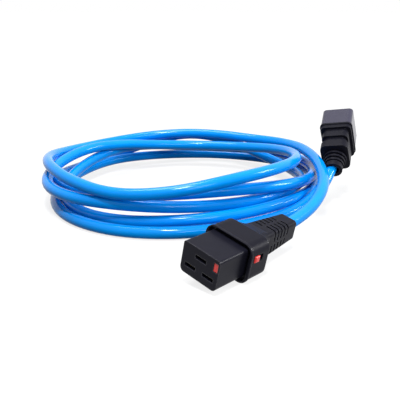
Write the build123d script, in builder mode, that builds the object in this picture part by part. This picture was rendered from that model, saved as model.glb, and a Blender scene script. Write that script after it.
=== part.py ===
"""A locking power cord: a socket connector with a red release, a pin plug, and a loosely coiled lead.

The origin is on the floor under the middle of the connector. The connector's mating face
looks along -Y, its cord leaves along +Y, and +Z is up. The connector leans on one of its
rounded long edges, as it lies in the photograph, with its side button down.
"""

import os
from math import cos, hypot, pi, radians, sin, sqrt, tan

from build123d import *

os.makedirs("parts", exist_ok=True)

# Mating pattern that the socket's slots and the plug's blades share, as (across, up) from the axis
blade_width = 8.0
blade_thickness = 2.0
blade_pitch = 14.0
earth_row = 4.3
line_row = -4.2
poles = {"line": (-blade_pitch / 2, line_row), "neutral": (blade_pitch / 2, line_row), "earth": (0, earth_row)}
fit_clearance = 0.05

# Cord
cord_diameter = 9.0
bore_clearance = 0.1
core_diameter = 2.8
core_gap = 0.23
core_spread = (core_diameter + core_gap) / sqrt(3)
core_bend = 3.5
sheath_setback = 3.0
core_angles = {"line": 210, "neutral": 330, "earth": 90}

# Red release: a bar behind the window in the face, with a button through the cover's side
bar_width = 3.0
bar_height = 5.6
bar_up = 5.0
bar_front = 0.3
bar_clearance = 0.15
bar_side_wall = 1.3
bar_tail = 1.1
release_travel = 3.5
button_setback = 2.6
button_length = 4.3
button_height = 4.3
button_up = 4.0
button_proud = 0.9
button_round = 1.0
button_clearance = 0.3

# Release spring, in the room between the bar and the cover's wall behind the nose
spring_room = 7.0
spring_wire = 0.5
spring_radius = 1.15
spring_turns = 4
spring_seat = 0.05

# Connector's front, with distances counted from the mating face
cover_front = 23.5
rim_length = 1.5
button_front = cover_front + rim_length + button_setback
bar_back = button_front + button_length + bar_tail

# Connector nose, which is the mating half
nose_width = 28.6
nose_height = 20.6
nose_top_corner = 1.8
nose_bottom_corner = 3.2
nose_length = bar_back + spring_room
bar_across = nose_width / 2 - bar_side_wall - bar_width / 2
slot_clearance = 0.3
front_wall = 2.0
chamber_height = 5.0
chamber_margin = 0.6

# Crimp barrels of the contacts and pins
barrel_wall = 0.7
barrel_radius = core_diameter / 2 + barrel_wall
barrel_floor = 1.0

# Connector cover
groove_width = 2.4
groove_depth = 2.8
side_wall = 1.8
top_wall = 0.9
cover_width = nose_width + 2 * (groove_width + side_wall)
cover_height = nose_height + 2 * (groove_width + top_wall)
cover_corner = 7.0
rim_step = 0.5
rim_round = 0.4
back_wall = 1.0
body_end = nose_length + back_wall
shoulder_front_length = 5.0
shoulder_middle = body_end + shoulder_front_length
shoulder_width = 25.5
shoulder_height = 22.0
shoulder_back_length = 7.0
shoulder_end = shoulder_middle + shoulder_back_length
relief_root_width = 19.0
relief_root_height = 18.0
relief_tip_width = 14.0
relief_tip_height = 14.6
relief_corner = 2.6
relief_length = 33.0
relief_neck = 4.0
relief_slot_start = shoulder_end + relief_neck
relief_slot_pitch = 3.9
relief_slot_width = 1.6
relief_slot_count = 5
relief_wall = 1.3
relief_core_radius = cord_diameter / 2 + bore_clearance + relief_wall
relief_spine = 0.9
wire_room_margin = 0.44
wire_room_radius = hypot(blade_pitch / 2, line_row) + core_diameter / 2 + wire_room_margin
wire_room_length = 16.0
wire_room_end = nose_length + wire_room_length
core_turn_in = 1.0
core_turn_out = 6.0
connector_sheath_stop = wire_room_end + sheath_setback
connector_length = shoulder_end + relief_length

# Lock plate: a tilting steel plate whose window bites on the earth blade
plate_thickness = 1.0
plate_height = 5.8
plate_window_clearance = 0.25
plate_hinge_web = 1.35
plate_front_web = 2.05
plate_pivot_across = -(blade_width / 2 + plate_window_clearance + plate_hinge_web)
plate_shoulder = blade_width / 2 + plate_window_clearance + plate_front_web
tongue_bite = 1.2
plate_reach = bar_across - bar_width / 2 + tongue_bite
plate_tongue_height = 3.0
tongue_notch = 2.2
plate_rest_tilt = 8.0
plate_seat = 0.3
plate_room_step = 0.2
plate_room_depth = 5.6
plate_pivot_setback = 3.2
plate_room_front = front_wall + plate_room_step
plate_room_back = plate_room_front + plate_room_depth
plate_pivot_depth = plate_room_front + plate_pivot_setback

# Socket contacts; the earth contact starts behind the lock plate
contact_side_gap = 0.9
contact_width = blade_width + 2 * slot_clearance - 2 * contact_side_gap
contact_wall = 0.6
contact_length = 17.0
contact_setback = 2.0
contact_plate_gap = 0.4
contact_mouth_gap = 0.2
contact_mouth_length = 3.0
contact_neck_length = 4.0
contact_neck_step = 0.2
contact_starts = {
    "line": front_wall + contact_setback,
    "neutral": front_wall + contact_setback,
    "earth": plate_room_back + contact_plate_gap,
}
barrel_length = 8.0

# Plug's shroud and pins, with distances counted from the front of the cover's lip
shroud_long = 33.8
shroud_short = 25.8
shroud_corner = 3.4
shroud_wall = 1.7
shroud_length = 19.0
shroud_floor = 2.0
blade_recess = 4.0
blade_tip = shroud_length - blade_recess
blade_root = 6.0
blade_chamfer = 0.6
pin_barrel_length = 7.0

# Bands of the plug's cover, each as (length, overhang on the long sides, on the short sides, corner):
# the first two are counted from the shroud, the others from the block behind it
lip_band = (1.6, 0.7, 0.7, 4.4)
collar_band = (3.8, -0.1, -0.1, 4.0)
neck_band = (3.0, 2.2, 2.1, 4.0)
grip_band = (6.0, 2.8, 2.6, 4.6)
waist_band = (3.6, 0.5, 1.2, 4.6)
heel_band = (7.0, 0.9, 3.2, 5.4)

# Plug's carrier plate and block, and the room for the cores
collar_floor = 1.4
plate_depth = lip_band[0] + collar_band[0] - collar_floor
plate_inset = 1.9
plate_long = shroud_long - 2 * plate_inset
plate_short = shroud_short - 2 * plate_inset
block_side_wall = 1.3
block_top_wall = 1.9
block_long = blade_pitch + blade_width + 2 * block_side_wall
block_short = 2 * (earth_row + barrel_radius + block_top_wall)
block_depth = blade_root + pin_barrel_length
room_side_margin = 1.8
room_top_margin = 1.5
room_long = blade_pitch + core_diameter + 2 * room_side_margin
room_short = 2 * earth_row + core_diameter + 2 * room_top_margin
plug_core_turn_in = 0.5
plug_core_turn_out = 2.5

# Plug's ringed strain relief
plug_relief_start = sum(band[0] for band in (lip_band, collar_band, neck_band, grip_band, waist_band, heel_band))
plug_relief_wall = 1.7
plug_relief_neck = cord_diameter / 2 + bore_clearance + plug_relief_wall
plug_ring_root = 9.6
plug_ring_tip = 8.0
plug_ring_width = 1.8
plug_ring_pitch = 3.3
plug_ring_count = 3
plug_tip_gap = 1.1
plug_tip_radius = 7.3
plug_tip_length = 4.2
plug_rings_end = plug_relief_start + 2 * plug_ring_width + (plug_ring_count - 1) * plug_ring_pitch
plug_end = plug_rings_end + plug_tip_gap + plug_tip_length
plug_sheath_stop = plug_relief_start + sheath_setback

# Where things lie
lean = 12.3
plug_exit_place = (-26.9, 148.0, 29.0)
plug_heading = -26.3
plug_rise = 28.3
plug_roll = 9.0
coil_centre = (-144.9, 86.5)
coil_turn = 43.2
coil_radius = 120.5
coil_end_width = 25.0
coil_side_width = 45.0
coil_height = 36.0
coil_outer_round = 11.0
coil_inner_round = 7.0
tail_straight = 10.0

# Frames of the two ends
lean_cos = cos(radians(lean))
lean_sin = sin(radians(lean))
axis_height = (cover_width / 2 - cover_corner) * lean_sin + (cover_height / 2 - cover_corner) * lean_cos + cover_corner
connector_face = Plane(
    origin=(0, -connector_length / 2, axis_height), x_dir=(lean_cos, 0, -lean_sin), z_dir=(0, -1, 0)
)


def heading_vector(heading, rise):
    """A unit vector from its heading, counted from +Y towards +X, and its rise above the floor."""
    level = cos(radians(rise))
    return Vector(sin(radians(heading)) * level, cos(radians(heading)) * level, sin(radians(rise)))


plug_forward = heading_vector(plug_heading, plug_rise)
plug_level = heading_vector(plug_heading + 90, 0)
plug_upright = plug_level.cross(plug_forward)
plug_long_side = plug_upright * cos(radians(plug_roll)) - plug_level * sin(radians(plug_roll))
plug_exit = Vector(*plug_exit_place)
plug_lip = Plane(origin=plug_exit + plug_forward * plug_end, x_dir=plug_long_side, z_dir=plug_forward)


def connector_at(distance):
    """The cross plane of the connector, this far behind its mating face."""
    return connector_face.offset(-distance)


def plug_at(distance):
    """The cross plane of the plug, this far behind the front of its lip."""
    return plug_lip.offset(-distance)


def core_place(pole):
    """Where a pole's core runs inside the sheath, from the cord's axis."""
    angle = radians(core_angles[pole])
    return core_spread * cos(angle), core_spread * sin(angle)


def nose_outline(clearance):
    """The nose's section, grown by a clearance: its lower corners are rounder than its upper ones."""
    with BuildSketch() as outline:
        Rectangle(nose_width + 2 * clearance, nose_height + 2 * clearance)
        rows = outline.vertices().group_by(Axis.Y)
        fillet(rows[0], nose_bottom_corner + clearance)
        rows = outline.vertices().group_by(Axis.Y)
        fillet(rows[-1], nose_top_corner + clearance)
    return outline.sketch


# Connector nose: slots, contact chambers, the release's channel and the lock plate's room
slot_width = blade_width + 2 * slot_clearance
slot_height = blade_thickness + 2 * slot_clearance
button_slot_length = button_length + release_travel + 2 * button_clearance
button_slot_height = button_height + 2 * button_clearance
plate_room_edge = plate_pivot_across - plate_seat - plate_thickness / 2

with BuildPart() as connector_nose:
    with BuildSketch(connector_at(0)):
        add(nose_outline(0))
    extrude(amount=-nose_length)
    for pole, (across, up) in poles.items():
        chamber_end = contact_starts[pole] + contact_length + chamber_margin
        with BuildSketch(connector_at(0)):
            with Locations((across, up)):
                Rectangle(slot_width, slot_height)
        extrude(amount=-front_wall, mode=Mode.SUBTRACT)
        with BuildSketch(connector_at(front_wall)):
            with Locations((across, up)):
                Rectangle(slot_width, chamber_height)
        extrude(amount=-(chamber_end - front_wall), mode=Mode.SUBTRACT)
        with BuildSketch(connector_at(chamber_end)):
            with Locations((across, up)):
                Circle(barrel_radius + fit_clearance)
        extrude(amount=-(nose_length - chamber_end), mode=Mode.SUBTRACT)
    with BuildSketch(connector_at(0)):
        with Locations((bar_across, bar_up)):
            Rectangle(bar_width + 2 * bar_clearance, bar_height + 2 * bar_clearance)
    extrude(amount=-nose_length, mode=Mode.SUBTRACT)
    with BuildSketch(connector_at(plate_room_front)):
        with Locations((plate_room_edge, earth_row)):
            Rectangle(bar_across - plate_room_edge, plate_height + 2 * plate_seat, align=(Align.MIN, Align.CENTER))
    extrude(amount=-(plate_room_back - plate_room_front), mode=Mode.SUBTRACT)
    with BuildSketch(connector_at(button_front - button_clearance)):
        with Locations((bar_across - button_clearance, button_up)):
            Rectangle(nose_width, button_slot_height, align=(Align.MIN, Align.CENTER))
    extrude(amount=-button_slot_length, mode=Mode.SUBTRACT)
connector_nose.part.label = "connector_nose"

# Connector cover: rim, body, shoulder and a strain relief with slots at its four corners
with BuildPart() as connector_cover:
    with BuildSketch(connector_at(cover_front)):
        RectangleRounded(cover_width, cover_height, cover_corner)
    extrude(amount=-rim_length)
    fillet(connector_cover.faces().sort_by(Axis.Y)[0].edges(), rim_round)
    body_width = cover_width - 2 * rim_step
    body_height = cover_height - 2 * rim_step
    with BuildSketch(connector_at(cover_front + rim_length)):
        RectangleRounded(body_width, body_height, cover_corner - rim_step)
    extrude(amount=-(body_end - cover_front - rim_length))
    with BuildSketch(connector_at(body_end)):
        RectangleRounded(body_width, body_height, cover_corner - rim_step)
    with BuildSketch(connector_at(shoulder_middle)):
        RectangleRounded(shoulder_width, shoulder_height, cover_corner - rim_step)
    with BuildSketch(connector_at(shoulder_end)):
        RectangleRounded(relief_root_width, relief_root_height, relief_corner)
    loft()
    with BuildSketch(connector_at(shoulder_end)):
        RectangleRounded(relief_root_width, relief_root_height, relief_corner)
    with BuildSketch(connector_at(connector_length)):
        RectangleRounded(relief_tip_width, relief_tip_height, relief_corner)
    loft(ruled=True)
    # the slots of neighbouring corners are staggered by half a pitch
    for index in range(relief_slot_count):
        for side, rise in ((-1, 1), (1, 1), (1, -1), (-1, -1)):
            stagger = relief_slot_pitch / 2 if side * rise > 0 else 0
            edges = (Align.MIN if side > 0 else Align.MAX, Align.MIN if rise > 0 else Align.MAX)
            with BuildSketch(connector_at(relief_slot_start + index * relief_slot_pitch + stagger)):
                with Locations((side * relief_spine, rise * relief_spine)):
                    Rectangle(relief_root_width, relief_root_height, align=edges)
                Circle(relief_core_radius, mode=Mode.SUBTRACT)
            extrude(amount=-relief_slot_width, mode=Mode.SUBTRACT)
    # pocket for the nose, with a groove round it
    with BuildSketch(connector_at(cover_front)):
        add(nose_outline(fit_clearance))
    extrude(amount=-(nose_length - cover_front), mode=Mode.SUBTRACT)
    with BuildSketch(connector_at(cover_front)):
        add(nose_outline(groove_width))
    extrude(amount=-groove_depth, mode=Mode.SUBTRACT)
    # room for the cores, then the sheath's bore
    with BuildSketch(connector_at(nose_length)):
        Circle(wire_room_radius)
    with BuildSketch(connector_at(wire_room_end)):
        Circle(cord_diameter / 2 + bore_clearance)
    loft(ruled=True, mode=Mode.SUBTRACT)
    with BuildSketch(connector_at(wire_room_end)):
        Circle(cord_diameter / 2 + bore_clearance)
    extrude(amount=-(connector_length - wire_room_end), mode=Mode.SUBTRACT)
    # the side slot that the release button travels in
    with BuildSketch(connector_at(button_front - button_clearance)):
        with Locations((bar_across, button_up)):
            Rectangle(cover_width, button_slot_height, align=(Align.MIN, Align.CENTER))
    extrude(amount=-button_slot_length, mode=Mode.SUBTRACT)
connector_cover.part.label = "connector_cover"

# Release slider: the bar, its arm to the side button and the notch for the lock plate's tongue
button_reach = cover_width / 2 - rim_step + button_proud
notch_middle = plate_pivot_depth - (plate_reach - plate_pivot_across) * sin(radians(plate_rest_tilt))

with BuildPart() as release_slider:
    with BuildSketch(connector_at(bar_front)):
        with Locations((bar_across, bar_up)):
            Rectangle(bar_width, bar_height)
    extrude(amount=-(bar_back - bar_front))
    with BuildSketch(connector_at(button_front)):
        with Locations((bar_across, button_up)):
            Rectangle(button_reach - bar_across, button_height, align=(Align.MIN, Align.CENTER))
    extrude(amount=-button_length)
    outward = Axis(connector_face.origin, connector_face.x_dir)
    fillet(release_slider.faces().sort_by(outward)[-1].edges(), button_round)
    with BuildSketch(connector_at(notch_middle - tongue_notch / 2)):
        with Locations((bar_across - bar_width / 2, earth_row)):
            Rectangle(
                plate_reach + plate_seat - bar_across + bar_width / 2,
                plate_tongue_height + 2 * plate_seat,
                align=(Align.MIN, Align.CENTER),
            )
    extrude(amount=-tongue_notch, mode=Mode.SUBTRACT)
release_slider.part.label = "release_slider"

# Lock plate: tilted about its inner edge, with its tongue towards the mating face
plate_pivot = connector_at(plate_pivot_depth).from_local_coords((plate_pivot_across, earth_row, 0))
tilt_axis = Axis(plate_pivot, connector_face.y_dir)
upright_plate = Plane(origin=plate_pivot, x_dir=connector_face.x_dir, z_dir=connector_face.z_dir)

with BuildPart() as lock_plate:
    with BuildSketch(upright_plate):
        Rectangle(plate_shoulder - plate_pivot_across, plate_height, align=(Align.MIN, Align.CENTER))
        Rectangle(plate_reach - plate_pivot_across, plate_tongue_height, align=(Align.MIN, Align.CENTER))
        with Locations((-plate_pivot_across, 0)):
            Rectangle(
                blade_width + 2 * plate_window_clearance,
                blade_thickness + 2 * plate_window_clearance,
                mode=Mode.SUBTRACT,
            )
    extrude(amount=plate_thickness / 2, both=True)
lock_plate.part = lock_plate.part.rotate(tilt_axis, -plate_rest_tilt)
lock_plate.part.label = "lock_plate"

# Release spring: between the bar's back end and the cover's wall behind the nose
spring_front = bar_back + spring_seat + spring_wire / 2
spring_length = nose_length - spring_seat - spring_wire / 2 - spring_front
spring_place = connector_at(spring_front).from_local_coords((bar_across, bar_up, 0))

with BuildPart() as release_spring:
    with BuildLine() as spring_path:
        Helix(
            pitch=spring_length / spring_turns,
            height=spring_length,
            radius=spring_radius,
            center=spring_place,
            direction=connector_face.z_dir * -1,
        )
    with BuildSketch(Plane(origin=spring_path.line @ 0, z_dir=spring_path.line % 0)):
        Circle(spring_wire / 2)
    sweep(is_frenet=True)
release_spring.part.label = "release_spring"


def socket_contact(pole):
    """A spring clip for one blade, folded from strip, with a crimp barrel for its core."""
    across, up = poles[pole]
    start = contact_starts[pole]
    clip_side = Plane(
        origin=connector_at(start).from_local_coords((across, up, 0)),
        x_dir=connector_face.z_dir * -1,
        z_dir=connector_face.x_dir,
    )
    pinch = blade_thickness / 2 + contact_wall - fit_clearance
    upper = [
        (0, chamber_height / 2 - contact_mouth_gap),
        (contact_mouth_length, pinch),
        (contact_length - contact_neck_length, barrel_radius - contact_neck_step),
        (contact_length, barrel_radius),
    ]
    lower = [(along, -height) for along, height in reversed(upper)]
    inside = [(along, height - contact_wall) for along, height in upper[:-1]]
    inside.append((contact_length - contact_wall, barrel_radius - contact_wall))
    back_to_front = [(along, -height) for along, height in inside]
    with BuildPart() as contact:
        with BuildSketch(clip_side):
            with BuildLine():
                Polyline(*upper, *lower, *back_to_front, *reversed(inside), close=True)
            make_face()
        extrude(amount=contact_width / 2, both=True)
        with BuildSketch(connector_at(start + contact_length)):
            with Locations((across, up)):
                Circle(barrel_radius)
                Circle(core_diameter / 2 + fit_clearance, mode=Mode.SUBTRACT)
        extrude(amount=-barrel_length)
    return contact


def core_run(points):
    """One insulated core along straight runs joined by arcs."""
    with BuildPart() as core:
        with BuildLine() as path:
            FilletPolyline(*points, radius=core_bend)
        with BuildSketch(Plane(origin=path.line @ 0, z_dir=path.line % 0)):
            Circle(core_diameter / 2)
        sweep()
    return core


def connector_core(pole):
    """A core from its contact's barrel to the end of the sheath."""
    across, up = poles[pole]
    inner_across, inner_up = core_place(pole)
    route = [
        (contact_starts[pole] + contact_length + fit_clearance, across, up),
        (nose_length - core_turn_in, across, up),
        (wire_room_end - core_turn_out, inner_across, inner_up),
        (connector_sheath_stop, inner_across, inner_up),
    ]
    return core_run([connector_at(back).from_local_coords((x, y, 0)) for back, x, y in route])


connector_line_contact = socket_contact("line")
connector_line_contact.part.label = "connector_line_contact"
connector_neutral_contact = socket_contact("neutral")
connector_neutral_contact.part.label = "connector_neutral_contact"
connector_earth_contact = socket_contact("earth")
connector_earth_contact.part.label = "connector_earth_contact"

connector_line_core = connector_core("line")
connector_line_core.part.label = "connector_line_core"
connector_neutral_core = connector_core("neutral")
connector_neutral_core.part.label = "connector_neutral_core"
connector_earth_core = connector_core("earth")
connector_earth_core.part.label = "connector_earth_core"

# Plug carrier: the shroud with its floor, a plate that sits in the cover and a block behind it
with BuildPart() as plug_carrier:
    with BuildSketch(plug_at(-shroud_length)):
        RectangleRounded(shroud_long, shroud_short, shroud_corner)
    extrude(amount=-shroud_length)
    with BuildSketch(plug_at(-shroud_length)):
        RectangleRounded(
            shroud_long - 2 * shroud_wall, shroud_short - 2 * shroud_wall, shroud_corner - shroud_wall
        )
    extrude(amount=-(shroud_length - shroud_floor), mode=Mode.SUBTRACT)
    with BuildSketch(plug_at(0)):
        RectangleRounded(plate_long, plate_short, shroud_corner - shroud_wall)
    extrude(amount=-plate_depth)
    with BuildSketch(plug_at(plate_depth)):
        RectangleRounded(block_long, block_short, shroud_corner)
    extrude(amount=-(block_depth - plate_depth))
    for across, up in poles.values():
        with BuildSketch(plug_at(-shroud_floor)):
            with Locations((across, up)):
                Rectangle(blade_width + 2 * fit_clearance, blade_thickness + 2 * fit_clearance)
        extrude(amount=-(shroud_floor + blade_root + fit_clearance), mode=Mode.SUBTRACT)
        with BuildSketch(plug_at(blade_root)):
            with Locations((across, up)):
                Circle(barrel_radius + fit_clearance)
        extrude(amount=-(block_depth - blade_root), mode=Mode.SUBTRACT)
plug_carrier.part.label = "plug_carrier"

# Plug cover: a stack of bands, then a ringed strain relief
shroud_size = (shroud_long, shroud_short)
block_size = (block_long, block_short)
stacked_bands = [
    (lip_band, shroud_size),
    (collar_band, shroud_size),
    (neck_band, block_size),
    (grip_band, block_size),
    (waist_band, block_size),
    (heel_band, block_size),
]
plug_bore = cord_diameter / 2 + bore_clearance

with BuildPart() as plug_cover:
    band_start = 0
    for (band_length, long_overhang, short_overhang, band_corner), (inner_long, inner_short) in stacked_bands:
        with BuildSketch(plug_at(band_start)):
            RectangleRounded(inner_long + 2 * long_overhang, inner_short + 2 * short_overhang, band_corner)
        extrude(amount=-band_length)
        band_start += band_length
    with BuildSketch(plug_at(plug_relief_start)):
        Circle(plug_relief_neck)
    extrude(amount=-(plug_end - plug_relief_start))
    for index in range(plug_ring_count):
        ring_start = plug_relief_start + plug_ring_width + index * plug_ring_pitch
        ring_radius = plug_ring_root + (plug_ring_tip - plug_ring_root) * index / (plug_ring_count - 1)
        with BuildSketch(plug_at(ring_start)):
            Circle(ring_radius)
        extrude(amount=-plug_ring_width)
    with BuildSketch(plug_at(plug_end - plug_tip_length)):
        Circle(plug_tip_radius)
    extrude(amount=-plug_tip_length)
    # pocket for the carrier, room for the cores, then the sheath's bore
    with BuildSketch(plug_at(0)):
        RectangleRounded(
            plate_long + 2 * fit_clearance, plate_short + 2 * fit_clearance, shroud_corner - shroud_wall
        )
    extrude(amount=-plate_depth, mode=Mode.SUBTRACT)
    with BuildSketch(plug_at(plate_depth)):
        RectangleRounded(block_long + 2 * fit_clearance, block_short + 2 * fit_clearance, shroud_corner)
    extrude(amount=-(block_depth - plate_depth), mode=Mode.SUBTRACT)
    with BuildSketch(plug_at(block_depth)):
        RectangleRounded(room_long, room_short, plug_bore)
    with BuildSketch(plug_at(plug_relief_start)):
        RectangleRounded(2 * plug_bore + fit_clearance, 2 * plug_bore + fit_clearance, plug_bore)
    loft(ruled=True, mode=Mode.SUBTRACT)
    with BuildSketch(plug_at(plug_relief_start)):
        Circle(plug_bore)
    extrude(amount=-(plug_end - plug_relief_start), mode=Mode.SUBTRACT)
plug_cover.part.label = "plug_cover"


def plug_pin(pole):
    """A flat blade with a chamfered tip and a crimp barrel behind it."""
    with BuildPart() as pin:
        with BuildSketch(plug_at(-blade_tip)):
            with Locations(poles[pole]):
                Rectangle(blade_width, blade_thickness)
        extrude(amount=-(blade_tip + blade_root))
        tip = pin.faces().sort_by(Axis(plug_lip.origin, plug_lip.z_dir))[-1]
        chamfer(tip.edges(), blade_chamfer)
        with BuildSketch(plug_at(blade_root)):
            with Locations(poles[pole]):
                Circle(barrel_radius)
        extrude(amount=-pin_barrel_length)
        with BuildSketch(plug_at(blade_root + barrel_floor)):
            with Locations(poles[pole]):
                Circle(core_diameter / 2 + fit_clearance)
        extrude(amount=-pin_barrel_length, mode=Mode.SUBTRACT)
    return pin


def plug_core(pole):
    """A core from its pin's barrel to the end of the sheath."""
    across, up = poles[pole]
    inner_across, inner_up = core_place(pole)
    route = [
        (blade_root + barrel_floor + fit_clearance, across, up),
        (block_depth + plug_core_turn_in, across, up),
        (plug_relief_start - plug_core_turn_out, inner_across, inner_up),
        (plug_sheath_stop, inner_across, inner_up),
    ]
    return core_run([plug_at(back).from_local_coords((x, y, 0)) for back, x, y in route])


plug_line_pin = plug_pin("line")
plug_line_pin.part.label = "plug_line_pin"
plug_neutral_pin = plug_pin("neutral")
plug_neutral_pin.part.label = "plug_neutral_pin"
plug_earth_pin = plug_pin("earth")
plug_earth_pin.part.label = "plug_earth_pin"

plug_line_core = plug_core("line")
plug_line_core.part.label = "plug_line_core"
plug_neutral_core = plug_core("neutral")
plug_neutral_core.part.label = "plug_neutral_core"
plug_earth_core = plug_core("earth")
plug_earth_core.part.label = "plug_earth_core"


def cord_tube(name, points):
    """A cord along straight runs joined by tangent arcs, each as gentle as its two runs allow."""
    points = [Vector(*point) for point in points]
    radii = []
    for before, corner, after in zip(points, points[1:], points[2:]):
        arriving = corner - before
        leaving = after - corner
        shorter_run = min(arriving.length, leaving.length)
        radii.append(0.45 * shorter_run / tan(radians(arriving.get_angle(leaving)) / 2))
    with BuildPart() as tube:
        with BuildLine() as path:
            FilletPolyline(*points, radius=radii)
        with BuildSketch(Plane(origin=path.line @ 0, z_dir=path.line % 0)):
            Circle(cord_diameter / 2)
        sweep()
    length = sum(edge.length for edge in path.edges())
    print(name, "radii", [round(radius, 1) for radius in radii], "length", round(length, 1))
    print(name, "volume against section times length", round(tube.part.volume / (pi * cord_diameter**2 / 4 * length), 5))
    return tube


# Cord: the stretch between the connector and the coil, the coil's outer shape, and the plug's stretch
sheath_start = connector_sheath_stop - connector_length / 2
cord_lead = cord_tube(
    "cord_lead",
    [
        (0, sheath_start, axis_height),
        (0, 62, axis_height),
        (-12.5, 104, 26),
        (-34, 138, 29),
        (-76, 181.5, 29),
        (-117, 195, 28),
    ],
)
cord_lead.part.label = "cord_lead"

cord_tail = cord_tube(
    "cord_tail",
    [
        plug_at(plug_sheath_stop).origin,
        plug_at(plug_end + tail_straight).origin,
        (-23.8, 120, 12.3),
        (-31, 102, 6.5),
        (-41, 83.5, 5.5),
    ],
)
cord_tail.part.label = "cord_tail"

with BuildPart() as cord_coil:
    coil_floor = Plane(origin=(*coil_centre, 0)).rotated((0, 0, coil_turn))
    with BuildSketch(coil_floor):
        Circle(coil_radius)
    extrude(amount=coil_height)
    fillet(cord_coil.faces().sort_by(Axis.Z)[-1].edges(), coil_outer_round)
    with BuildSketch(coil_floor):
        SlotOverall(2 * (coil_radius - coil_end_width), 2 * (coil_radius - coil_side_width))
    extrude(amount=coil_height, mode=Mode.SUBTRACT)
    fillet(cord_coil.faces().sort_by(Axis.Z)[-1].inner_wires()[0].edges(), coil_inner_round)
cord_coil.part.label = "cord_coil"

# One STEP file per piece
export_step(connector_cover.part, "parts/connector_cover.step")
export_step(connector_nose.part, "parts/connector_nose.step")
export_step(connector_line_contact.part, "parts/connector_line_contact.step")
export_step(connector_neutral_contact.part, "parts/connector_neutral_contact.step")
export_step(connector_earth_contact.part, "parts/connector_earth_contact.step")
export_step(connector_line_core.part, "parts/connector_line_core.step")
export_step(connector_neutral_core.part, "parts/connector_neutral_core.step")
export_step(connector_earth_core.part, "parts/connector_earth_core.step")
export_step(lock_plate.part, "parts/lock_plate.step")
export_step(release_slider.part, "parts/release_slider.step")
export_step(release_spring.part, "parts/release_spring.step")
export_step(plug_cover.part, "parts/plug_cover.step")
export_step(plug_carrier.part, "parts/plug_carrier.step")
export_step(plug_line_pin.part, "parts/plug_line_pin.step")
export_step(plug_neutral_pin.part, "parts/plug_neutral_pin.step")
export_step(plug_earth_pin.part, "parts/plug_earth_pin.step")
export_step(plug_line_core.part, "parts/plug_line_core.step")
export_step(plug_neutral_core.part, "parts/plug_neutral_core.step")
export_step(plug_earth_core.part, "parts/plug_earth_core.step")
export_step(cord_lead.part, "parts/cord_lead.step")
export_step(cord_coil.part, "parts/cord_coil.step")
export_step(cord_tail.part, "parts/cord_tail.step")

for piece in (connector_cover, connector_nose, release_slider, lock_plate, plug_cover, plug_carrier, cord_coil):
    box = piece.part.bounding_box()
    print(piece.part.label, [round(value, 1) for value in (*box.min, *box.max)], len(piece.part.solids()), "solid")
print("lock plate pivot", [round(value, 3) for value in plate_pivot], "axis", [round(v, 4) for v in tilt_axis.direction])
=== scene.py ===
"""A locking power cord, dressed for its studio picture: socket connector, pin plug and coiled lead.

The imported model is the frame, in metres: the origin is on the floor under the middle of the
connector, +Y runs from the connector's mating face to its cord, and +Z is up. The covers, the nose,
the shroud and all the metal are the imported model's own shapes, with a finish each. The lead is one
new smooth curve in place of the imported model's tubes.
"""

from __future__ import annotations

import logging
import math
from abc import ABC, abstractmethod
from dataclasses import dataclass
from enum import Enum
from typing import Any, ClassVar, Sequence

import bmesh
import bpy
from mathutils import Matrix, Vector

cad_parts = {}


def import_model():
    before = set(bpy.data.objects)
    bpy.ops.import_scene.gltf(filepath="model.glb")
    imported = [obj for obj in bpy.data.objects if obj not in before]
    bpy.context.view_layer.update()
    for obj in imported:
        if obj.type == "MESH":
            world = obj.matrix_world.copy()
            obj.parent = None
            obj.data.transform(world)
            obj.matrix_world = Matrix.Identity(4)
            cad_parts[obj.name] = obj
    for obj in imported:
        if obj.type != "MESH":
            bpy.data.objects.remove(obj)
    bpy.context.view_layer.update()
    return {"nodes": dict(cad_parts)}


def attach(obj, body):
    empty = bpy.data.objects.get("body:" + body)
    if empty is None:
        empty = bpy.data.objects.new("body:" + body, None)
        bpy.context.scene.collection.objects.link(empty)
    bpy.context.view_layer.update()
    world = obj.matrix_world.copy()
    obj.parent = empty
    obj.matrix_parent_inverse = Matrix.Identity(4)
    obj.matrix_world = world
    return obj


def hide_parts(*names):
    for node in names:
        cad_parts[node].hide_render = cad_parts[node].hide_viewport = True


log = logging.getLogger("power_cord")

Colour = tuple[float, float, float]
Point = tuple[float, float, float]

MM = 0.001
WHITE = (1.0, 1.0, 1.0, 1.0)


class Maths(Enum):
    """The operations that the shader maths uses."""

    ADD = "ADD"
    SUBTRACT = "SUBTRACT"
    MULTIPLY = "MULTIPLY"
    MAXIMUM = "MAXIMUM"
    GREATER_THAN = "GREATER_THAN"


class Ray(Enum):
    """The rays by which the camera, gloss and glass see a background."""

    CAMERA = "Is Camera Ray"
    GLOSSY = "Is Glossy Ray"
    TRANSMISSION = "Is Transmission Ray"


class Signal:
    """A shader socket that takes part in Python expressions."""

    def __init__(self, graph: Graph, socket: bpy.types.NodeSocket) -> None:
        """Wraps an output socket of a graph."""
        self.graph = graph
        self.socket = socket

    def __add__(self, other: Any) -> Signal:
        """Adds a value or another signal."""
        return self.graph.maths(Maths.ADD, self, other)

    def __sub__(self, other: Any) -> Signal:
        """Takes a value or another signal away."""
        return self.graph.maths(Maths.SUBTRACT, self, other)

    def __rsub__(self, other: Any) -> Signal:
        """Takes this signal away from a value."""
        return self.graph.maths(Maths.SUBTRACT, other, self)

    def __mul__(self, other: Any) -> Signal:
        """Multiplies by a value or another signal."""
        return self.graph.maths(Maths.MULTIPLY, self, other)

    __radd__ = __add__
    __rmul__ = __mul__


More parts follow.
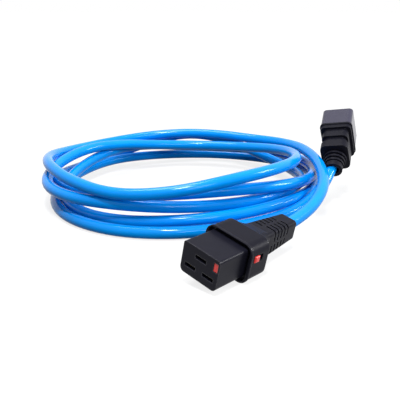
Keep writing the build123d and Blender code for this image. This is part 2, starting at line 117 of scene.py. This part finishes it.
class Graph:
    """The node tree of a material or of the world, with a single method that adds any node."""

    def __init__(self, owner: bpy.types.Material | bpy.types.World, output: str) -> None:
        """Starts a tree that has only its output.

        Args:
            owner: The material or world, which is given nodes.
            output: The output node's type.
        """
        owner.use_nodes = True
        self.owner = owner
        self.tree = owner.node_tree
        self.tree.nodes.clear()
        self.output = self.tree.nodes.new(output)

    @classmethod
    def for_material(cls, name: str) -> Graph:
        """Starts a new material of that name."""
        return cls(bpy.data.materials.new(name), "ShaderNodeOutputMaterial")

    def node(
        self,
        kind: str,
        settings: dict[str, Any] | None = None,
        inputs: dict[Any, Any] | None = None,
        output: Any = 0,
    ) -> Signal:
        """Adds a node, sets it up and links it.

        Args:
            kind: The node's type.
            settings: Its own properties.
            inputs: Values or signals by input name or number.
            output: The output to hand back, by name or number.

        Returns:
            The chosen output as a signal.
        """
        node = self.tree.nodes.new(kind)
        for key, value in (settings or {}).items():
            setattr(node, key, value)
        for key, value in (inputs or {}).items():
            if isinstance(value, Signal):
                self.tree.links.new(value.socket, node.inputs[key])
            else:
                node.inputs[key].default_value = value
        return Signal(self, node.outputs[output])

    def maths(self, operation: Maths, first: Any, second: Any, clamp: bool = False) -> Signal:
        """Joins two values or signals, and keeps the result from 0 to 1 where clamp is set."""
        settings = {"operation": operation.value, "use_clamp": clamp}
        return self.node("ShaderNodeMath", settings, {0: first, 1: second})

    def place(self) -> Signal:
        """Hands back the Object coordinates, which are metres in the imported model's frame."""
        return self.node("ShaderNodeTexCoord", output="Object")

    def normal(self) -> Signal:
        """Hands back the surface's plain normal."""
        return self.node("ShaderNodeNewGeometry", output="Normal")

    def noise(
        self, scale: float, detail: float = 2.0, stretch: Sequence[float] | None = None
    ) -> Signal:
        """Adds a noise whose grain is 1 / scale metres wide.

        Args:
            scale: Cells per metre.
            detail: Octaves of finer grain.
            stretch: Factors on X, Y and Z, or None for an even grain.

        Returns:
            The noise, from 0 to 1.
        """
        vector = self.place()
        if stretch is not None:
            vector = self.node(
                "ShaderNodeMapping", None, {"Vector": vector, "Scale": tuple(stretch)}
            )
        inputs = {"Vector": vector, "Scale": scale, "Detail": detail}
        return self.node("ShaderNodeTexNoise", None, inputs, "Fac")

    def blend(self, factor: Any, first: Colour | Signal, second: Colour | Signal) -> Signal:
        """Mixes two colours.

        Args:
            factor: 0 for the first and 1 for the second.
            first: RGB, linear, or a colour signal.
            second: RGB, linear, or a colour signal.

        Returns:
            The mixed colour.
        """
        first, second = (
            colour if isinstance(colour, Signal) else (*colour, 1.0) for colour in (first, second)
        )
        # The Mix node's kinds of value share their names, so its colours are asked for by number.
        inputs = {"Factor": factor, 6: first, 7: second}
        return self.node("ShaderNodeMix", {"data_type": "RGBA"}, inputs, output=2)

    @staticmethod
    def uneven(noise: Signal, middle: float, swing: float) -> Signal:
        """Makes a noise swing evenly about a middle value."""
        return noise * swing + (middle - swing / 2)

    def bump(
        self, height: Signal, strength: float, depth: float, normal: Signal | None = None
    ) -> Signal:
        """Gives a surface a fine relief.

        Args:
            height: The relief, from 0 to 1.
            strength: How much of it counts.
            depth: Its depth in millimetres.
            normal: The normal under it, or None for the plain one.

        Returns:
            The normal with the relief.
        """
        inputs = {"Strength": strength, "Distance": depth * MM, "Height": height}
        if normal is not None:
            inputs["Normal"] = normal
        return self.node("ShaderNodeBump", None, inputs, "Normal")

    def rounded(self, radius: float) -> Signal:
        """Hands back a normal that goes round the edges, by a radius in millimetres."""
        return self.node("ShaderNodeBevel", {"samples": 6}, {"Radius": radius * MM}, "Normal")

    def edges(self, rounded: Signal, gain: float) -> Signal:
        """Finds the edges from where a rounded normal leaves the plain one.

        Args:
            rounded: The rounded normal.
            gain: How soon an edge counts in full.

        Returns:
            1 on the edges and 0 on the faces between them.
        """
        inputs = {0: rounded, 1: self.normal()}
        match = self.node("ShaderNodeVectorMath", {"operation": "DOT_PRODUCT"}, inputs, "Value")
        return self.maths(Maths.MULTIPLY, 1.0 - match, gain, clamp=True)

    def facing_up(self, gain: float) -> Signal:
        """Hands back 0 on undersides and up to 1 on upper sides, the sooner for more gain."""
        height = self.node("ShaderNodeSeparateXYZ", None, {0: self.normal()}, "Z")
        return self.maths(Maths.MULTIPLY, height, gain, clamp=True)

    def background_seen(self) -> Signal:
        """Tells the rays that see a background from those that light the object with it.

        Returns:
            1 for the camera's, gloss's and glass's rays, and 0 for the others.
        """
        seen, *others = (self.node("ShaderNodeLightPath", output=ray.value) for ray in Ray)
        for ray in others:
            seen = self.maths(Maths.MAXIMUM, seen, ray)
        return seen

    def mix_shaders(self, factor: Signal, first: Signal, second: Signal) -> Signal:
        """Mixes two shaders: the first at 0, and the second at 1."""
        return self.node("ShaderNodeMixShader", None, {0: factor, 1: first, 2: second})

    def principled(self, sockets: dict[str, Any]) -> Signal:
        """Adds a Principled shader with these values and signals on its inputs."""
        return self.node("ShaderNodeBsdfPrincipled", None, sockets)

    def close(self, shader: Signal) -> Any:
        """Puts a shader on the output and hands back the material or world."""
        self.tree.links.new(shader.socket, self.output.inputs["Surface"])
        return self.owner


class Finish(ABC):
    """A look that the wardrobe can put on a piece.

    Its slot is the name that the record gives it, where that isn't the finish's own name. Grain
    and other patterns are given in cells per metre, and their depths in millimetres.
    """

    name: str
    slot: str = ""

    @abstractmethod
    def build(self) -> bpy.types.Material:
        """Builds the material."""


@dataclass(frozen=True)
class MouldedFinish(Finish):
    """Moulded plastic with the spark-eroded grain of its tool, and edges that are lighter and
    glossier: partly worn smooth in use, partly a painted highlight.
    """

    name: str
    dark: Colour
    light: Colour
    rubbed_and_highlit: Colour
    rough: float = 0.4
    rough_swing: float = 0.12
    clouds: float = 140.0
    handling: float = 60.0
    grain: float = 5200.0
    grain_strength: float = 0.35
    grain_depth: float = 0.02
    edge_radius: float = 0.5
    edge_gain: float = 5.0
    edge_gloss: float = 0.8
    edge_polish: float = 0.12
    wear_and_sheen: float = 420.0
    wear_and_sheen_least: float = 0.3
    wear_and_sheen_swing: float = 0.8
    coat_rough: float = 0.12
    specular: float = 0.5
    slot: str = ""

    def build(self) -> bpy.types.Material:
        """Builds the material: cloudy colour, round edges made lighter and glossier as worn edges
        and a painted highlight, and a fine grained bump.

        Returns:
            The material.
        """
        graph = Graph.for_material(self.name)
        rounded = graph.rounded(self.edge_radius)
        wear_and_sheen = graph.noise(self.wear_and_sheen, detail=3.0) * self.wear_and_sheen_swing + self.wear_and_sheen_least
        # Edge mask, broken up in patches: the edges' lighter colour and coat are partly worn
        # plastic, partly a painted highlight.
        edge = graph.edges(rounded, self.edge_gain) * wear_and_sheen
        body = graph.blend(graph.noise(self.clouds, detail=3.0), self.dark, self.light)
        handling = graph.noise(self.handling, detail=4.0)
        rough = graph.uneven(handling, self.rough, self.rough_swing)
        grain = graph.noise(self.grain)
        sockets = {
            "Base Color": graph.blend(edge, body, self.rubbed_and_highlit),
            "Roughness": rough - edge * self.edge_polish,
            "Normal": graph.bump(grain, self.grain_strength, self.grain_depth, rounded),
            "Coat Weight": edge * self.edge_gloss,
            "Coat Roughness": self.coat_rough,
            "Specular IOR Level": self.specular,
        }
        return graph.close(graph.principled(sockets))


@dataclass(frozen=True)
class SheathFinish(Finish):
    """Extruded soft plastic: nearly smooth, with faint flow marks and a slight orange peel."""

    name: str
    deep: Colour
    bright: Colour
    gloss: Colour
    rough: float = 0.2
    rough_swing: float = 0.1
    tones: float = 45.0
    peel: float = 900.0
    grain: float = 4200.0
    grain_share: float = 0.3
    relief: float = 0.25
    relief_depth: float = 0.03
    specular: float = 0.06
    upper_gain: float = 1.5
    top_painted_gloss: float = 0.42
    coat_rough: float = 0.11

    def build(self) -> bpy.types.Material:
        """Builds the material: two close tones, a fine bump, and a painted highlight: a gloss coat
        on the upper side only, none on the undersides.

        Returns:
            The material.
        """
        graph = Graph.for_material(self.name)
        grain = graph.noise(self.grain)
        height = graph.noise(self.peel) * (1.0 - self.grain_share) + grain * self.grain_share
        sockets = {
            "Base Color": graph.blend(graph.noise(self.tones, detail=4.0), self.deep, self.bright),
            "Roughness": graph.uneven(grain, self.rough, self.rough_swing),
            "Normal": graph.bump(height, self.relief, self.relief_depth),
            "Specular IOR Level": self.specular,
            "Specular Tint": (*self.gloss, 1.0),
            # Painted highlight: the coat is on upward faces only, so the tops glint and the
            # undersides show no reflection.
            "Coat Weight": graph.facing_up(self.upper_gain) * self.top_painted_gloss,
            "Coat Roughness": self.coat_rough,
        }
        return graph.close(graph.principled(sockets))


@dataclass(frozen=True)
class MetalFinish(Finish):
    """Stamped or drawn metal, with rolling marks along one axis."""

    name: str
    dull: Colour
    bright: Colour
    rough: float = 0.25
    rough_swing: float = 0.16
    stains: float = 160.0
    marks: float = 3800.0
    marks_stretch: tuple[float, float, float] = (1.0, 0.06, 1.0)
    relief: float = 0.2
    relief_depth: float = 0.01

    def build(self) -> bpy.types.Material:
        """Builds the material: brushed colour and roughness with fine scratches.

        Returns:
            The material.
        """
        graph = Graph.for_material(self.name)
        marks = graph.noise(self.marks, detail=3.0, stretch=self.marks_stretch)
        stains = graph.noise(self.stains, detail=3.0)
        sockets = {
            "Base Color": graph.blend(stains, self.dull, self.bright),
            "Metallic": 1.0,
            "Roughness": graph.uneven(marks, self.rough, self.rough_swing),
            "Normal": graph.bump(marks, self.relief, self.relief_depth),
        }
        return graph.close(graph.principled(sockets))


@dataclass(frozen=True)
class BandedFinish(Finish):
    """Core insulation, plain or with a second colour in bands that take their share of it."""

    name: str
    ground: Colour
    band: Colour
    share: float = 0.0
    bands: float = 90.0
    wobble: float = 0.4
    rough: float = 0.35
    rough_swing: float = 0.1
    smears: float = 700.0

    def build(self) -> bpy.types.Material:
        """Builds the material: bands by a wave, over a slightly uneven ground.

        Returns:
            The material.
        """
        graph = Graph.for_material(self.name)
        settings = {"wave_type": "BANDS", "bands_direction": "X"}
        inputs = {"Vector": graph.place(), "Scale": self.bands, "Distortion": self.wobble}
        wave = graph.node("ShaderNodeTexWave", settings, inputs, "Fac")
        mask = graph.maths(Maths.GREATER_THAN, wave, 1.0 - self.share)
        sockets = {
            "Base Color": graph.blend(mask, self.ground, self.band),
            "Roughness": graph.uneven(graph.noise(self.smears), self.rough, self.rough_swing),
        }
        return graph.close(graph.principled(sockets))


# In the moulded finishes, the third colour is the edges' lighter colour: partly worn plastic, partly
# a painted highlight.
COVER_BLACK = MouldedFinish(
    "cover_black",
    dark=(0.006, 0.006, 0.01),
    light=(0.009, 0.009, 0.015),
    rubbed_and_highlit=(0.02, 0.02, 0.028),
    rough=0.42,
    specular=0.06,
)
INSERT_BLACK = MouldedFinish(
    "insert_black",
    dark=(0.006, 0.006, 0.011),
    light=(0.009, 0.009, 0.016),
    rubbed_and_highlit=(0.034, 0.034, 0.046),
    rough=0.34,
    grain=3600.0,
    edge_radius=0.9,
    specular=0.08,
)
# Painted reflection: a lighter, bluer copy of the insert's black, standing in for the bright
# surround reflected on the plug's shroud.
SHROUD_BLACK_PAINTED_SHEEN = MouldedFinish(
    "shroud_black_painted_sheen",
    dark=(0.024, 0.022, 0.045),
    light=(0.032, 0.03, 0.058),
    rubbed_and_highlit=(0.05, 0.05, 0.08),
    rough=0.2,
    grain=3600.0,
    slot="insert_black",
)
RELEASE_RED = MouldedFinish(
    "release_red",
    dark=(0.66, 0.022, 0.02),
    light=(0.74, 0.035, 0.028),
    rubbed_and_highlit=(0.85, 0.10, 0.06),
    rough=0.3,
)
LOCK_STEEL = MetalFinish("lock_steel", (0.42, 0.42, 0.44), (0.6, 0.6, 0.62), rough=0.3)
CONTACT_BRASS = MetalFinish("contact_brass", (0.55, 0.36, 0.12), (0.72, 0.5, 0.2), rough=0.28)
PIN_NICKEL = MetalFinish("pin_nickel", (0.52, 0.5, 0.46), (0.68, 0.66, 0.62), rough=0.2)
CORE_BROWN = BandedFinish("core_brown", (0.09, 0.03, 0.012), (0.09, 0.03, 0.012))
CORE_BLUE = BandedFinish("core_light_blue", (0.03, 0.16, 0.5), (0.03, 0.16, 0.5))
CORE_GREEN = BandedFinish("core_green", (0.03, 0.25, 0.03), (0.75, 0.6, 0.03), share=0.35)
CORD_BLUE = SheathFinish(
    "cord_blue", deep=(0.0, 0.205, 0.68), bright=(0.0, 0.26, 0.78), gloss=(0.3, 0.75, 1.0)
)


class Wardrobe:
    """Builds each finish once and puts it on pieces."""

    def __init__(self) -> None:
        """Starts with no finish built."""
        self._built: dict[str, bpy.types.Material] = {}

    def dress(self, piece: bpy.types.Object, finish: Finish) -> None:
        """Puts a finish on a piece.

        Args:
            piece: A mesh or curve object.
            finish: One of the finishes above.
        """
        if finish.name not in self._built:
            self._built[finish.name] = finish.build()
        piece.data.materials.clear()
        piece.data.materials.append(self._built[finish.name])


@dataclass
class DressedEnd:
    """One end of the cord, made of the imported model's own shapes."""

    wardrobe: Wardrobe
    nodes: dict[str, bpy.types.Object]
    finishes: ClassVar[dict[str, Finish]] = {}

    def build(self) -> list[bpy.types.Object]:
        """Dresses the pieces of this end.

        Returns:
            The pieces, in order.
        """
        for node, finish in self.finishes.items():
            self.wardrobe.dress(self.nodes[node], finish)
        return [self.nodes[node] for node in self.finishes]


class SocketConnector(DressedEnd):
    """The socket end: its cover and nose, its release, and its contacts with their cores."""

    finishes = {
        "connector_cover": COVER_BLACK,
        "connector_nose": INSERT_BLACK,
        "release_slider": RELEASE_RED,
        "lock_plate": LOCK_STEEL,
        "release_spring": LOCK_STEEL,
        "connector_line_contact": CONTACT_BRASS,
        "connector_neutral_contact": CONTACT_BRASS,
        "connector_earth_contact": CONTACT_BRASS,
        "connector_line_core": CORE_BROWN,
        "connector_neutral_core": CORE_BLUE,
        "connector_earth_core": CORE_GREEN,
    }


class PinPlug(DressedEnd):
    """The pin end: its cover, its carrier with the shroud, and its pins with their cores."""

    finishes = {
        "plug_cover": COVER_BLACK,
        # The shroud's lighter black is a painted reflection.
        "plug_carrier": SHROUD_BLACK_PAINTED_SHEEN,
        "plug_line_pin": PIN_NICKEL,
        "plug_neutral_pin": PIN_NICKEL,
        "plug_earth_pin": PIN_NICKEL,
        "plug_line_core": CORE_BROWN,
        "plug_neutral_core": CORE_BLUE,
        "plug_earth_core": CORE_GREEN,
    }


@dataclass(frozen=True)
class Turn:
    """One turn of the coil: how far out and how high the cord is at each step round it, in mm."""

    reach: tuple[float, ...]
    height: tuple[float, ...]


@dataclass
class Lead:
    """The blue lead: straight out of the connector, round the coil, and up into the plug.

    Lengths are in millimetres and angles in degrees. The coil's angles are counted from +X round
    its centre, to the left seen from above, and start at turned + first_angle.
    """

    wardrobe: Wardrobe
    diameter: float = 9.0
    exit: Point = (0.0, 43.0, 15.9)
    centre: tuple[float, float] = (-144.9, 86.5)
    turned: float = 43.2
    first_angle: float = 45.0
    step_angle: float = 22.5
    steps_along: int = 6
    steps_round: int = 7
    near_points: tuple[Point, ...] = (
        (0, 16, 15.9),
        (0, 62, 15.9),
        (-8.4, 105.8, 26.9),
        (-36.3, 142.9, 33.8),
        (-72.9, 174.6, 35.2),
        (-107.9, 191.3, 32.6),
    )
    far_points: tuple[Point, ...] = (
        (-32.6, 76.7, 4.5),
        (-28.1, 102.9, 7.1),
        (-26.1, 122.2, 13.8),
        (-26.8, 139.8, 23.7),
        (-31.8, 157.9, 34.9),
    )
    turns: tuple[Turn, ...] = (
        Turn(
            reach=(
                103.1, 96, 95.5, 99.5, 106.3, 111.9, 114, 113.5,
                113.7, 114.4, 112.1, 108.5, 106.4, 104.9, 102.1, 96.8,
            ),
            height=(
                31.4, 33, 32.9, 30.4, 27.3, 27.4, 32.6, 36.5,
                33.7, 29.7, 33.6, 39.9, 40.6, 38, 34.4, 29.8,
            ),
        ),
        Turn(
            reach=(
                89.1, 80.9, 75, 74.3, 80.7, 93, 107.1, 118,
                118.7, 110.5, 101.4, 97.3, 100, 106.2, 110.1, 108.7,
            ),
            height=(
                25.5, 24.2, 24.9, 26.7, 29.9, 31.2, 26.3, 21.6,
                22.1, 21.9, 19.1, 17.1, 16.6, 15.7, 13, 11.8,
            ),
        ),
        Turn(
            reach=(
                105.2, 104.1, 105.7, 108.9, 113.5, 116, 113.1, 105.8,
                98.3, 93.4, 92.7, 97, 105.5, 115.1, 121.5, 122.5,
            ),
            height=(
                17.7, 28.4, 30.4, 19.2, 8.8, 7, 12.2, 18.5,
                21.5, 23.4, 26.4, 28.3, 26.6, 22.2, 19.6, 19.4,
            ),
        ),
        Turn(
            reach=(
                117.3, 107.6, 97.7, 91, 88.9, 91.6, 97.5, 103.4,
                106.6, 106.6, 104.9, 104.6, 108.1, 115.9, 124.3, 128.8,
            ),
            height=(
                18.2, 16.6, 18.6, 23, 24.1, 19.6, 13.1, 8.4,
                6.4, 7.5, 9.8, 11, 11.8, 11.8, 11.1, 9.3,
            ),
        ),
        Turn(
            reach=(
                127, 120.6, 112.1, 104.9, 101.2, 101.4, 105.3, 111.3,
                116.8, 118.6, 115.7, 112.1,
            ),
            height=(
                6.7, 6.1, 6.6, 8.4, 10.1, 8.3, 5.4, 4.5,
                4.5, 4.5, 4.6, 4.5,
            ),
        ),
    )

    def coil_points(self) -> list[Vector]:
        """Works out the coil's points from its turns.

        Returns:
            The points in order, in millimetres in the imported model's frame.
        """
        points = []
        angle = math.radians(self.turned + self.first_angle)
        for turn in self.turns:
            for reach, height in zip(turn.reach, turn.height):
                across = self.centre[0] + reach * math.cos(angle)
                along = self.centre[1] + reach * math.sin(angle)
                points.append(Vector((across, along, height)))
                angle += math.radians(self.step_angle)
        return points

    def build(self, carried: Sequence[bpy.types.Object]) -> bpy.types.Object:
        """Args:
            carried: The pieces of the plug on its far end; not used.

        Returns:
            The lead.
        """
        near = [Vector(point) for point in self.near_points]
        far = [Vector(point) for point in self.far_points]
        route = near + self.coil_points() + far
        curve = bpy.data.curves.new("lead_sheath", "CURVE")
        curve.dimensions = "3D"
        spline = curve.splines.new("NURBS")
        spline.points.add(len(route) - 1)
        for point, target in zip(spline.points, route):
            point.co = (*(target * MM), 1.0)
        spline.order_u = 3
        spline.use_endpoint_u = True
        spline.resolution_u = self.steps_along
        curve.bevel_depth = self.diameter / 2 * MM
        curve.bevel_resolution = self.steps_round
        curve.use_fill_caps = True
        lead = bpy.data.objects.new("lead_sheath", curve)
        bpy.context.scene.collection.objects.link(lead)
        self.wardrobe.dress(lead, CORD_BLUE)
        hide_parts("cord_lead", "cord_coil", "cord_tail")
        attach(lead, "cord")
        return lead


@dataclass(frozen=True)
class Lamp:
    """A soft square lamp: where it hangs, what it faces and its side, in metres, and its watts."""

    name: str
    place: Point
    target: Point
    side: float
    watts: float

    def hang(self) -> None:
        """Hangs the lamp in the scene."""
        data = bpy.data.lights.new(self.name, "AREA")
        data.size = self.side
        data.energy = self.watts
        lamp = bpy.data.objects.new(self.name, data)
        lamp.location = self.place
        aim = Vector(self.target) - Vector(self.place)
        lamp.rotation_euler = aim.to_track_quat("-Z", "Y").to_euler()
        bpy.context.scene.collection.objects.link(lamp)


@dataclass(frozen=True)
class Studio:
    """A pale floor, soft lamps and the camera at the photograph's angle.

    Lengths are in metres, save for the lens and the sensor, and angles in degrees. The greys are
    pairs that the floor's mottle goes between: those that light the object from below, and those
    that the camera sees near it. Further off the floor is white.
    """

    camera_place: Point = (0.2072, -0.266, 0.1572)
    camera_tilt: float = 71.57
    camera_heading: float = 42.84
    lens: float = 52.39
    sensor: float = 36.0
    clip: tuple[float, float] = (0.01, 50.0)
    floor_reach: float = 12.0
    floor_drop: float = 0.0002
    floor_rough: float = 0.85
    floor_specular: float = 0.2
    mottle: float = 3.0
    greys_below: tuple[float, float] = (0.09, 0.11)
    greys_seen: tuple[float, float] = (0.7, 0.74)
    middle: Point = (-0.1, 0.08, 0.0)
    fade_from: float = 0.2
    fade_to: float = 0.55
    near_white: float = 0.75
    white: float = 1.07
    surround: float = 0.24
    lamps: tuple[Lamp, ...] = (
        Lamp("key", (0.22, -0.30, 0.98), (-0.1, 0.08, 0.02), side=0.16, watts=9.0),
        Lamp("top", (-0.35, 0.05, 1.05), (-0.1, 0.08, 0.02), side=0.5, watts=8.0),
        Lamp("fill", (0.75, -0.35, 0.45), (-0.05, 0.05, 0.02), side=0.4, watts=4.0),
        Lamp("side", (0.56, 0.62, 0.36), (-0.02, 0.05, 0.03), side=0.25, watts=6.0),
    )

    def build(self) -> None:
        """Builds the whole studio."""
        self._camera()
        self._floor()
        self._world()
        for lamp in self.lamps:
            lamp.hang()
        bpy.context.scene.view_settings.view_transform = "Standard"

    def _camera(self) -> None:
        """Places the camera."""
        data = bpy.data.cameras.new("camera")
        data.lens = self.lens
        data.sensor_width = self.sensor
        data.clip_start, data.clip_end = self.clip
        camera = bpy.data.objects.new("camera", data)
        camera.location = self.camera_place
        tilt, heading = math.radians(self.camera_tilt), math.radians(self.camera_heading)
        camera.rotation_euler = (tilt, 0.0, heading)
        bpy.context.scene.collection.objects.link(camera)
        bpy.context.scene.camera = camera

    def _floor(self) -> None:
        """Lays the pale floor."""
        mesh = bpy.data.meshes.new("floor")
        shape = bmesh.new()
        bmesh.ops.create_grid(shape, x_segments=1, y_segments=1, size=self.floor_reach)
        shape.to_mesh(mesh)
        shape.free()
        mesh.materials.append(self._floor_finish())
        floor = bpy.data.objects.new("floor", mesh)
        floor.location.z = -self.floor_drop
        bpy.context.scene.collection.objects.link(floor)

    def _floor_finish(self) -> bpy.types.Material:
        """Makes the floor fade to white away from the object and keep its shadow near it.

        Returns:
            The floor's material.
        """
        graph = Graph.for_material("floor_pale")
        mottle = graph.noise(self.mottle)
        below, seen = (
            graph.principled(
                {
                    "Base Color": graph.blend(mottle, (darker,) * 3, (lighter,) * 3),
                    "Roughness": self.floor_rough,
                    "Specular IOR Level": self.floor_specular,
                }
            )
            for darker, lighter in (self.greys_below, self.greys_seen)
        )
        white = graph.node("ShaderNodeEmission", None, {"Color": WHITE, "Strength": self.white})
        away = graph.node(
            "ShaderNodeVectorMath", {"operation": "SUBTRACT"}, {0: graph.place(), 1: self.middle}
        )
        reach = graph.node("ShaderNodeVectorMath", {"operation": "LENGTH"}, {0: away}, "Value")
        ramp = {
            "Value": reach,
            "From Min": self.fade_from,
            "From Max": self.fade_to,
            "To Min": self.near_white,
            "To Max": 1.0,
        }
        fade = graph.node("ShaderNodeMapRange", {"interpolation_type": "SMOOTHSTEP"}, ramp)
        shown = graph.mix_shaders(fade, seen, white)
        return graph.close(graph.mix_shaders(graph.background_seen(), below, shown))

    def _world(self) -> None:
        """Sets an even pale surround that the camera, gloss and glass see as white."""
        graph = Graph(bpy.data.worlds.new("surround"), "ShaderNodeOutputWorld")
        even, white = (
            graph.node("ShaderNodeBackground", None, {"Color": WHITE, "Strength": strength})
            for strength in (self.surround, 1.0)
        )
        mixed = graph.mix_shaders(graph.background_seen(), even, white)
        bpy.context.scene.world = graph.close(mixed)


def main() -> None:
    """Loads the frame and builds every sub-assembly."""
    logging.basicConfig(level=logging.INFO, format="%(name)s: %(message)s")
    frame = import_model()
    wardrobe = Wardrobe()
    connector = SocketConnector(wardrobe, frame["nodes"]).build()
    plug = PinPlug(wardrobe, frame["nodes"]).build()
    lead = Lead(wardrobe).build(plug)
    for piece in (*connector, *plug, lead):
        log.info("built %s in %s", piece.name, piece.data.materials[0].name)
    Studio().build()


if __name__ == "__main__":
    main()
